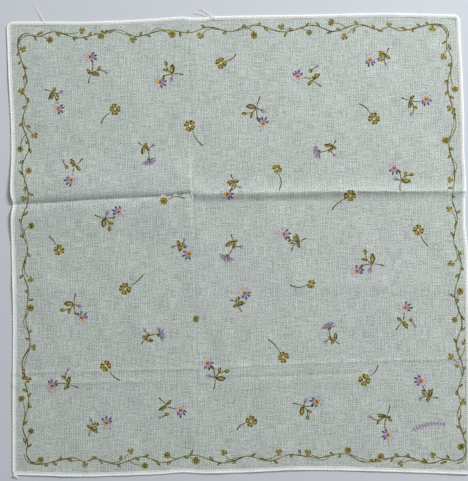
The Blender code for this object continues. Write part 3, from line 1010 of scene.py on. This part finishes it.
class Wire:
    """A socket in a material, so that sums on it are written as plain expressions."""

    def __init__(self, tree, socket=None):
        self.tree, self.socket = tree, socket

    def node(self, kind, settings=(), inputs=(), output=0):
        """A new node: its type, its settings, and its sockets' values or wires."""
        made = self.tree.nodes.new("ShaderNode" + kind)
        for name, value in dict(settings).items():
            setattr(made, name, value)
        for name, value in dict(inputs).items():
            if isinstance(value, Wire):
                self.tree.links.new(value.socket, made.inputs[name])
            else:
                made.inputs[name].default_value = value
        return Wire(self.tree, made.outputs[output])

    def maths(self, operation, *values):
        return self.node("Math", {"operation": operation}, dict(enumerate(values)))

    def mixed(self, other, share):
        """This colour mixed with another one, by a share."""
        settings = {"data_type": "RGBA", "clamp_factor": True}
        return self.node("Mix", settings, {0: share, 6: self, 7: other}, 2)

    def scaled(self, share):
        """This colour with its brightness multiplied."""
        return self.node("VectorMath", {"operation": "SCALE"}, {0: self, "Scale": share})

    def __add__(self, other):
        return self.maths("ADD", self, other)

    def __sub__(self, other):
        return self.maths("SUBTRACT", self, other)

    def __mul__(self, other):
        return self.maths("MULTIPLY", self, other)

    __radd__ = __add__
    __rmul__ = __mul__

    def __rsub__(self, other):
        return self.maths("SUBTRACT", other, self)

    def sine(self):
        return self.maths("SINE", self)

    def size(self):
        """This value without its sign."""
        return self.maths("ABSOLUTE", self)

    def sibling(self, output):
        """Another output of the node that this wire comes from."""
        return Wire(self.tree, self.socket.node.outputs[output])

    def colour(self, value):
        """A wire that carries one colour."""
        made = self.node("RGB")
        made.socket.default_value = value
        return made

    def stored(self, name, output):
        """A value that the mesh stores."""
        return self.node("Attribute", {"attribute_name": name}, (), output)

    def place(self):
        return self.node("TexCoord", (), (), "Object")

    def across(self):
        """How far across the cloth a place lies. Its sibling 1 says how far up."""
        return self.node("SeparateXYZ", (), {"Vector": self.place()})

    def noise(self, spots, detail=1.0):
        """Noise around 0, with its own number of spots a metre along x, y and z."""
        stretched = self.node("Mapping", (), {"Vector": self.place(), "Scale": spots})
        settings = {"noise_dimensions": "3D"}
        inputs = {"Vector": stretched, "Scale": 1.0, "Detail": detail, "Roughness": 0.5}
        return self.node("TexNoise", settings, inputs) - 0.5

    def into(self, shader, name):
        self.tree.links.new(self.socket, shader.inputs[name])

    def bump(self, shader, depth):
        """This height as a relief on the shader's surface."""
        inputs = {"Height": self, "Strength": 1.0, "Distance": depth * MM}
        self.node("Bump", (), inputs).into(shader, "Normal")


def new_material(name, roughness):
    """A material, its shader node and a wire to start from."""
    material = bpy.data.materials.new(name)
    material.use_nodes = True
    shader = material.node_tree.nodes["Principled BSDF"]
    shader.inputs["Roughness"].default_value = roughness
    shader.inputs["Specular IOR Level"].default_value = SPECULAR
    return material, shader, Wire(material.node_tree)


def weave_height(wire, wander):
    """The height of a plain weave: warp over weft and weft over warp by turns."""
    turns = math.pi / (THREAD_PITCH * MM)
    place = wire.across()
    across = (place * turns + wander).sine()
    upright = (place.sibling(1) * turns + wander).sine()
    over = across * upright
    return across.size() * (0.5 + over * 0.5) + upright.size() * (0.5 - over * 0.5)


def slub(wire):
    """Thicker and thinner threads: fine lines up the cloth, and fainter ones across."""
    grain = wire.noise(GRAIN_SPOTS, detail=0.0) * GRAIN_SHARE
    upright = wire.noise(UPRIGHT_SPOTS) * UPRIGHT_SHARE
    across = wire.noise(ACROSS_SPOTS) * ACROSS_SHARE
    turns = wire.across() * (math.tau / (LINE_PITCH * MM))
    lines = (turns + wire.noise(LINE_STRAY_SPOTS) * LINE_STRAY).sine()
    strength = wire.noise(LINE_STRENGTH_SPOTS) + LINE_STRENGTH_MEAN
    return grain + upright + across + lines * strength * LINE_STRENGTH


def printed_lawn():
    material, shader, wire = new_material("printed_lawn", roughness=0.88)
    streaks = slub(wire)
    cloudy = wire.noise(CLOUD_SPOTS) * CLOUD_SHARE + CLOUD_MEAN
    ink = wire.stored("ink", "Color")
    cover = ink.sibling("Alpha")
    plain = wire.colour(LAWN_COLOUR).mixed(wire.colour(PATCH_COLOUR), cloudy)
    woven = plain.scaled(streaks + 1.0)
    dyed = ink.scaled(streaks * INK_STREAKS + 1.0)
    covered = cover * (1.0 + streaks * COVER_STREAKS)
    woven.mixed(dyed, covered).into(shader, "Base Color")
    weave = weave_height(wire, wire.noise(WANDER_SPOTS) * WANDER_SHARE)
    (weave + streaks * RELIEF_STREAKS).bump(shader, WEAVE_DEPTH)
    return material


def hem_lawn():
    material, shader, wire = new_material("hem_lawn", roughness=0.85)
    streaks = wire.noise(HEM_SPOTS)
    # The roll's own white, which also carries a painted highlight where the roll swells.
    rolled = wire.colour(HEM_COLOUR).mixed(wire.colour(ROLL_COLOUR), wire.stored("roll", "Fac"))
    woven = rolled.scaled(streaks * HEM_STREAKS + 1.0)
    # Painted shade: the needle holes darkened as if shaded in their dents.
    sewn = woven.mixed(wire.colour(HOLE_SHADE_COLOUR), wire.stored("hole", "Fac"))
    sewn.into(shader, "Base Color")
    (weave_height(wire, streaks * HEM_WANDER) + streaks).bump(shader, WEAVE_DEPTH)
    return material


def white_thread():
    material, shader, wire = new_material("white_thread", roughness=0.7)
    twist = wire.noise(TWIST_SPOTS)
    wire.colour(THREAD_COLOUR).scaled(twist * TWIST_SHARE + 1.0).into(shader, "Base Color")
    twist.bump(shader, TWIST_DEPTH)
    return material


# A line of the sheet's grid runs between two lines of the cloth, at a share of the way.
GridLine = namedtuple("GridLine", "panel share")


def grid_lines(lines, stops):
    found = []
    for panel in range(len(lines) - 1):
        length = float(lines[panel + 1](0.0) - lines[panel](0.0))
        start_stops, end_stops = stops[panel][1], stops[panel + 1][0]
        first, last = start_stops[-1], length - end_stops[-1]
        steps = math.ceil((last - first) / GRID_STEP)
        between = [first + (last - first) * i / steps for i in range(1, steps)]
        places = [*start_stops, *between, *(length - stop for stop in reversed(end_stops))]
        found += [GridLine(panel, place / length) for place in places[:-1]]
    return found + [GridLine(len(lines) - 2, 1.0)]


def crossings(column_lines, row_lines, columns, rows):
    """Where the grid's lines cross: x and y, by row and column."""

    def along(lines, line, place):
        start, end = lines[line.panel](place), lines[line.panel + 1](place)
        return start + (end - start) * line.share

    x = np.zeros((len(rows), len(columns)))
    y = np.zeros_like(x)
    for _ in range(CROSSING_ROUNDS):
        for i, column in enumerate(columns):
            x[:, i] = along(column_lines, column, y[:, i])
        for j, row in enumerate(rows):
            y[j] = along(row_lines, row, x[j])
    return x, y


def sheet_grid():
    near, right, far, left = edges(HEM_WIDTH - HEM_OVERLAP)
    column_lines = [left, upright_line, right]
    row_lines = [near, lower_line, middle_line, far]
    edge = (EDGE_STOPS, EDGE_STOPS)
    upright = (UPRIGHT_STOPS, UPRIGHT_STOPS)
    lower = (LOWER_NEAR_STOPS, LOWER_FAR_STOPS)
    middle = (MIDDLE_NEAR_STOPS, MIDDLE_FAR_STOPS)
    columns = grid_lines(column_lines, [edge, upright, edge])
    rows = grid_lines(row_lines, [edge, lower, middle, edge])
    return crossings(column_lines, row_lines, columns, rows)


JOIN_WITHIN = 1e-5  # the net joins points that lie nearer than this


def triangulated(x, y, shapes):
    """The grid's points and the printed outlines as one net of triangles.

    Gives the net's points, its triangles, and the uppermost shape in each triangle, or -1.
    """
    inside = np.stack((x[1:-1, 1:-1].ravel(), y[1:-1, 1:-1].ravel()), 1)
    rims = [
        np.concatenate((net[0], net[1:, -1], net[-1, -2::-1], net[-2:0:-1, 0])) for net in (x, y)
    ]
    points = [np.stack(rims, 1), *(shape.points for shape in shapes), inside]
    loops, first = [], 0
    for group in points[:-1]:
        loops.append(list(range(first, first + len(group))))
        first += len(group)
    flat = [Vector(point) for point in np.concatenate(points)]
    found, _, faces, _, _, owners = delaunay_2d_cdt(flat, [], loops, 0, JOIN_WITHIN, True)
    kept = [i for i, loops_over in enumerate(owners) if loops_over]
    triangles = np.array([faces[i] for i in kept])
    uppermost = np.array([max(owners[i]) - 1 for i in kept])
    return np.array([tuple(point) for point in found]), triangles, uppermost


def inks_of(shapes, points, triangles, uppermost):
    """The ink at each corner of each triangle, as red, green, blue and cover."""
    shapes = [*shapes, UNPRINTED]
    near = np.array([colour(*shape.near) for shape in shapes])
    far = np.array([colour(*shape.far) for shape in shapes])
    start = np.array([shape.start for shape in shapes])
    along = np.array([shape.end - shape.start for shape in shapes])
    owner = np.repeat(uppermost, 3)
    corners = points[triangles.ravel()]
    share = ((corners - start[owner]) * along[owner]).sum(axis=1)
    share = np.clip(share / (along[owner] ** 2).sum(axis=1), 0, 1)[:, None]
    return near[owner] + (far[owner] - near[owner]) * share


def rim_edges(triangles):
    """The edges that only one triangle has, in that triangle's direction."""
    pairs = np.concatenate([triangles[:, (0, 1)], triangles[:, (1, 2)], triangles[:, (2, 0)]])
    forward = {(int(a), int(b)) for a, b in pairs}
    return sorted(pair for pair in forward if (pair[1], pair[0]) not in forward)


# The colour map: how much of its width the top and the underside take, and the gaps.
TOP_SHARE = 0.84
UNDER_SHARE = 0.15
MAP_GAP = 0.004
UNDER_COVER = 0.55  # how much of the print shows through on the underside


def bake_layout(points, triangles, rim):
    """Where each corner lies on the colour map: the top, the underside, then the rim."""
    low, high = points.min(axis=0), points.max(axis=0)
    flat = (points - low) / (high - low).max()
    top = MAP_GAP + flat[triangles.ravel()] * TOP_SHARE
    under = flat[triangles[:, ::-1].ravel()] * UNDER_SHARE
    under = under + (TOP_SHARE + 2 * MAP_GAP, MAP_GAP)
    strip = []
    floor, ceiling = TOP_SHARE + 3 * MAP_GAP, TOP_SHARE + 8 * MAP_GAP
    for k in range(len(rim)):
        start, end = TOP_SHARE * k / len(rim), TOP_SHARE * (k + 1) / len(rim)
        strip += [(start, floor), (end, floor), (end, ceiling), (start, ceiling)]
    return np.concatenate((top, under, np.array(strip)))


def make_lawn():
    """The printed sheet: one thin closed cloth whose triangles follow the print."""
    shapes = all_print()
    points, triangles, uppermost = triangulated(*sheet_grid(), shapes)
    x, y = points.T
    under_z = lift(x, y)
    normals = normals_at(x, y)
    under = in_metres(x, y, under_z)
    top = in_metres(x, y, under_z + CLOTH_THICKNESS)
    count = len(points)
    rim = rim_edges(triangles)
    faces = (triangles + count).tolist() + triangles[:, ::-1].tolist()
    faces += [(a, b, b + count, a + count) for a, b in rim]
    mesh = bpy.data.meshes.new("lawn")
    mesh.from_pydata(np.concatenate((under, top)).tolist(), [], faces)
    inks = inks_of(shapes, points, triangles, uppermost)
    under_inks = inks.reshape(-1, 3, 4)[:, ::-1].reshape(-1, 4) * (1, 1, 1, UNDER_COVER)
    all_inks = np.concatenate((inks, under_inks, np.zeros((4 * len(rim), 4))))
    layer = mesh.attributes.new("ink", "FLOAT_COLOR", "CORNER")
    layer.data.foreach_set("color", all_inks.ravel())
    layout = mesh.uv_layers.new(name="OFBake")
    layout.data.foreach_set("uv", bake_layout(points, triangles, rim).ravel())
    mesh.shade_smooth()
    mesh.normals_split_custom_set_from_vertices(np.concatenate((-normals, normals)).tolist())
    mesh.materials.append(printed_lawn())
    lawn = bpy.data.objects.new("lawn", mesh)
    bpy.context.scene.collection.objects.link(lawn)
    return lawn


# The rolled hem: its section from the outer edge inwards and back underneath. Each row says how
# far in and how high a line of it lies, how much it follows the roll's uneven swings and the
# needle's dents, and how white it is. The needle's dents are painted darker as shade, and the
# roll is painted brighter where it swells, as a highlight.
STITCH_PITCH = 1.27
STATIONS_PER_STITCH = 4
STATION_STEP = STITCH_PITCH / STATIONS_PER_STITCH
HEM_TURNS = (3.1, 3.1, 3.9, 4.6)  # the radii of its corners, as ring_around() takes them
Section = namedtuple("Section", "inset height roll stitched white")
HEM_SECTION = table(Section, [
    (0.03, 0.34, 0.6, 0.0, 1.0), (0.12, 0.6, 1.0, 0.0, 1.0), (0.4, 0.76, 1.0, 0.0, 1.0),
    (0.8, 0.78, 1.0, 0.1, 1.0), (1.18, 0.68, 0.5, 0.35, 0.9), (1.6, 0.52, 0.0, 1.0, 0.35),
    (2.02, 0.6, 0.3, 0.35, 0.35), (2.42, 0.6, 0.3, 0.0, 0.35), (2.66, 0.48, 0.2, 0.0, 0.2),
    (2.72, 0.3, 0.0, 0.0, 0.0), (2.62, 0.08, 0.0, 0.0, 0.0), (0.5, 0.02, 0.0, 0.0, 0.5),
    (0.1, 0.12, 0.0, 0.0, 1.0),
])
NEEDLE_DENT = 0.2
HEM_SINK = 0.25
HEM_STRIPS = 32
STRIP_MARGIN = 0.06
HEM_SEED = 3
EDGE_WOBBLE, EDGE_WAVES = 0.1, (9, 23, 37, 61, 140)
ROLL_WOBBLE, ROLL_WAVES = 0.07, (7, 13, 29, 47, 83)
ROLL_SLANT = 0.03
# How much brighter the roll is painted where it swells higher: a painted highlight.
ROLL_HIGHLIGHT_SWING = 2
HEM_LOWEST = 0.02


def wobble_along(count, lengths, rng):
    """Soft irregular swings round a closed line of count points, about 1 high at most."""
    angle = math.tau * np.arange(count) / count
    total = np.zeros(count)
    for length in lengths:
        turns = max(round(count / length), 1)
        total += np.sin(turns * angle + rng.uniform(0, math.tau))
    return total / len(lengths)


def hem_base(x, y):
    """How far the hem's underside stands off the floor, a little under the sheet's."""
    return np.maximum(lift(x, y) - HEM_SINK, HEM_LOWEST)


def make_hem():
    """The hem: the cloth's edge rolled over, a ring that follows the outline and the folds."""
    rng = np.random.default_rng(HEM_SEED)
    points, outward = ring_around(HEM_TURNS, STATION_STEP)
    count = len(points)
    stations = np.arange(count)
    dents = (stations % STATIONS_PER_STITCH == 0).astype(float)
    spread = wobble_along(count, EDGE_WAVES, rng) * EDGE_WOBBLE
    swell = wobble_along(count, ROLL_WAVES, rng) * ROLL_WOBBLE
    slant = np.sin(math.tau * stations / (2 * STATIONS_PER_STITCH)) * ROLL_SLANT
    rings = []
    for row in HEM_SECTION:
        inward = row.inset - spread * row.roll
        x, y = (points - outward * inward[:, None]).T
        height = row.height + (swell + slant) * row.roll - dents * NEEDLE_DENT * row.stitched
        rings.append(in_metres(x, y, hem_base(x, y) + np.maximum(height, 0.0)))
    # Painted shade in the needle dents.
    hole_shades = [dents * row.stitched**2 for row in HEM_SECTION]
    # The roll's own white, with a painted highlight where it swells higher.
    whites_and_highlights = [np.full(count, row.white) + swell * ROLL_HIGHLIGHT_SWING for row in HEM_SECTION]
    hem = closed_net("rolled_hem", np.array(rings), {"hole": hole_shades, "roll": whites_and_highlights})
    hem.data.materials.append(hem_lawn())
    return hem


def closed_net(name, rings, values):
    """A grid whose lines are the section's rings, rolled up and joined at both its seams.

    Its colour map is cut in strips, so that the long ring fills a square.
    """

    def lapped(net):
        net = np.concatenate((net, net[:1]))
        return np.concatenate((net, net[:, :1]), axis=1)

    rings = lapped(rings)
    deep, wide = rings.shape[:2]
    bpy.ops.mesh.primitive_grid_add(x_subdivisions=wide - 1, y_subdivisions=deep - 1)
    net = bpy.context.object
    net.name = name
    mesh = net.data
    mesh.vertices.foreach_set("co", rings.ravel())
    for value_name, value in values.items():
        layer = mesh.attributes.new(value_name, "FLOAT", "POINT")
        layer.data.foreach_set("value", lapped(np.array(value)).ravel())
    corners = np.empty(len(mesh.loops), np.int32)
    mesh.loops.foreach_get("vertex_index", corners)
    along, around = corners % wide, corners // wide
    first = np.repeat(along.reshape(-1, 4).min(axis=1), 4)
    per_strip = math.ceil((wide - 1) / HEM_STRIPS)
    strip = first // per_strip
    u = MAP_GAP + (along - strip * per_strip) / per_strip * (1 - 2 * MAP_GAP)
    v = (strip + STRIP_MARGIN + (1 - 2 * STRIP_MARGIN) * around / (deep - 1)) / HEM_STRIPS
    mesh.uv_layers.remove(mesh.uv_layers[0])
    layout = mesh.uv_layers.new(name="OFBake")
    layout.data.foreach_set("uv", np.stack((u, v), 1).ravel())
    mesh.update()
    select_only(net)
    bpy.ops.object.mode_set(mode="EDIT")
    bpy.ops.mesh.select_all(action="SELECT")
    bpy.ops.mesh.remove_doubles(threshold=0.001 * MM)
    bpy.ops.mesh.normals_make_consistent(inside=False)
    bpy.ops.object.mode_set(mode="OBJECT")
    mesh.shade_smooth()
    return net


# The sewing thread: a stitch's heights over the hem's base, from hole to hole, and how thick
# it is there.
STITCH_HEIGHTS = (0.36, 0.58, 0.66, 0.58, 0.36)
STITCH_THICKNESS = (0.6, 1.0, 1.0, 1.0, 0.6)
STITCH_INSET = 1.6
STITCH_RADIUS = 0.16
# Loose ends of thread, each by pixels of the photograph and heights over the floor. The
# ones at the near left corner make a small frayed tuft.
LOOSE_THREADS = [
    [
        (34.2, 4.7, 0.15), (37.0, 10.2, 0.15), (40.6, 16.2, 0.4), (43.6, 20.6, 0.9),
        (45.2, 22.6, 1.1), (46.0, 24.4, 0.7),
    ],
    [
        (195.3, 13.0, 0.9), (200.0, 13.7, 0.6), (204.0, 15.0, 0.6), (208.5, 15.7, 1.2),
        (213.0, 17.2, 1.6), (214.0, 19.4, 1.1),
    ],
    [
        (202.0, 7.3, 1.6), (205.0, 11.2, 0.9), (209.0, 13.8, 0.7), (213.2, 16.2, 1.3),
        (215.4, 18.0, 1.5), (216.0, 19.6, 1.1),
    ],
]
TUFT = [
    [
        (14.6, 474.6, 1.1), (13.1, 475.6, 0.7), (14.4, 476.9, 0.4), (16.2, 476.2, 0.7),
        (15.6, 475.0, 1.1),
    ],
    [
        (15.4, 474.4, 1.1), (14.0, 476.0, 0.9), (15.6, 477.0, 0.4), (17.4, 476.0, 0.6),
        (16.6, 474.8, 1.1),
    ],
    [
        (13.6, 474.2, 1.0), (15.2, 475.8, 1.2), (16.8, 476.4, 0.6), (17.5, 477.4, 0.4),
        (17.8, 478.6, 0.3),
    ],
    [
        (16.2, 474.6, 1.0), (14.6, 475.4, 1.2), (13.4, 476.4, 0.4), (15.0, 476.6, 0.8),
        (17.0, 476.8, 0.4), (17.2, 478.0, 0.3),
    ],
]
LOOSE_RADIUS = 0.13
TUFT_RADIUS = 0.28


def stitch_runs():
    """Each stitch's points in metres, over the hem from one needle hole to the next."""
    points, outward = ring_around(HEM_TURNS, STATION_STEP)
    x, y = (points - outward * STITCH_INSET).T
    base = hem_base(x, y)
    runs = []
    for first in range(0, len(points) - STATIONS_PER_STITCH + 1, STATIONS_PER_STITCH):
        stations = np.arange(first, first + STATIONS_PER_STITCH + 1) % len(points)
        run = in_metres(x[stations], y[stations], base[stations] + STITCH_HEIGHTS)
        runs.append((run, STITCH_THICKNESS))
    return runs


def loose_run(places):
    """A loose end's points in metres, on a smooth curve through its own places."""
    flat = [(*on_cloth(x, y), height) for x, y, height in places]
    x, y, z = smooth_through(flat, 1.0).T
    return in_metres(x, y, z), [1.0] * len(x)


def sewing(name, runs, radius, material):
    """Threads that are sewn or caught in the hem, all in one mesh."""
    curve = bpy.data.curves.new(name, "CURVE")
    curve.dimensions = "3D"
    curve.bevel_depth = radius * MM
    curve.bevel_resolution = 1
    curve.use_fill_caps = True
    for points, thickness in runs:
        spline = curve.splines.new("POLY")
        spline.points.add(len(points) - 1)
        spline.points.foreach_set("co", np.column_stack((points, np.ones(len(points)))).ravel())
        spline.points.foreach_set("radius", thickness)
    curve.materials.append(material)
    thread = bpy.data.objects.new(name, curve)
    bpy.context.scene.collection.objects.link(thread)
    select_only(thread)
    bpy.ops.object.convert(target="MESH")
    bpy.ops.object.shade_smooth()
    return bpy.context.object


FLOOR_SIZE = 4.0
KEY_PLACE = (0.78, 0.86, 0.8)
KEY_SIZE = 0.5
KEY_POWER = 20.9
SKY_STRENGTH = 0.34


def make_floor():
    bpy.ops.mesh.primitive_plane_add(size=FLOOR_SIZE)
    floor = bpy.context.object
    floor.name = "floor"
    material, shader, _ = new_material("pale_floor", roughness=0.9)
    shader.inputs["Base Color"].default_value = FLOOR_COLOUR
    floor.data.materials.append(material)
    return floor


def make_camera():
    aim = Vector((*(np.array((AIM_X, AIM_Y)) - CLOTH_MIDDLE) * MM, 0.0))
    back = Vector((0, -math.sin(CAMERA_TILT), math.cos(CAMERA_TILT)))
    bpy.ops.object.camera_add(location=aim + back * CAMERA_DISTANCE * MM)
    camera = bpy.context.object
    camera.rotation_euler = (CAMERA_TILT, 0, 0)
    camera.data.sensor_fit = "VERTICAL"
    camera.data.sensor_height = SENSOR_HIGH
    camera.data.lens = SENSOR_HIGH * CAMERA_DISTANCE / MM_PER_PIXEL / PHOTO_HIGH
    camera.data.clip_start = CLIP_START
    bpy.context.scene.camera = camera


def make_lights():
    """An even light from all round, and one lamp out past the far right corner."""
    world = bpy.data.worlds.new("studio")
    world.use_nodes = True
    background = world.node_tree.nodes["Background"]
    background.inputs["Color"].default_value = (1, 1, 1, 1)
    background.inputs["Strength"].default_value = SKY_STRENGTH
    bpy.context.scene.world = world
    bpy.ops.object.light_add(type="AREA", location=KEY_PLACE)
    key = bpy.context.object
    key.name = "key"
    key.data.shape = "SQUARE"
    key.data.size = KEY_SIZE
    key.data.energy = KEY_POWER
    key.rotation_euler = (-Vector(KEY_PLACE)).to_track_quat("-Z", "Y").to_euler()
    bpy.context.scene.view_settings.view_transform = "Standard"


bpy.ops.object.select_all(action="DESELECT")
lawn = make_lawn()
hem = make_hem()
thread = white_thread()
stitches = sewing("hem_stitches", stitch_runs(), STITCH_RADIUS, thread)
loose_runs = [loose_run(places) for places in LOOSE_THREADS]
loose_ends = sewing("loose_threads", loose_runs, LOOSE_RADIUS, thread)
tuft = sewing("frayed_tuft", [loose_run(places) for places in TUFT], TUFT_RADIUS, thread)
for piece in (lawn, hem, stitches, loose_ends, tuft):
    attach(piece, "root")
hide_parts("cloth")
floor = make_floor()
make_camera()
make_lights()
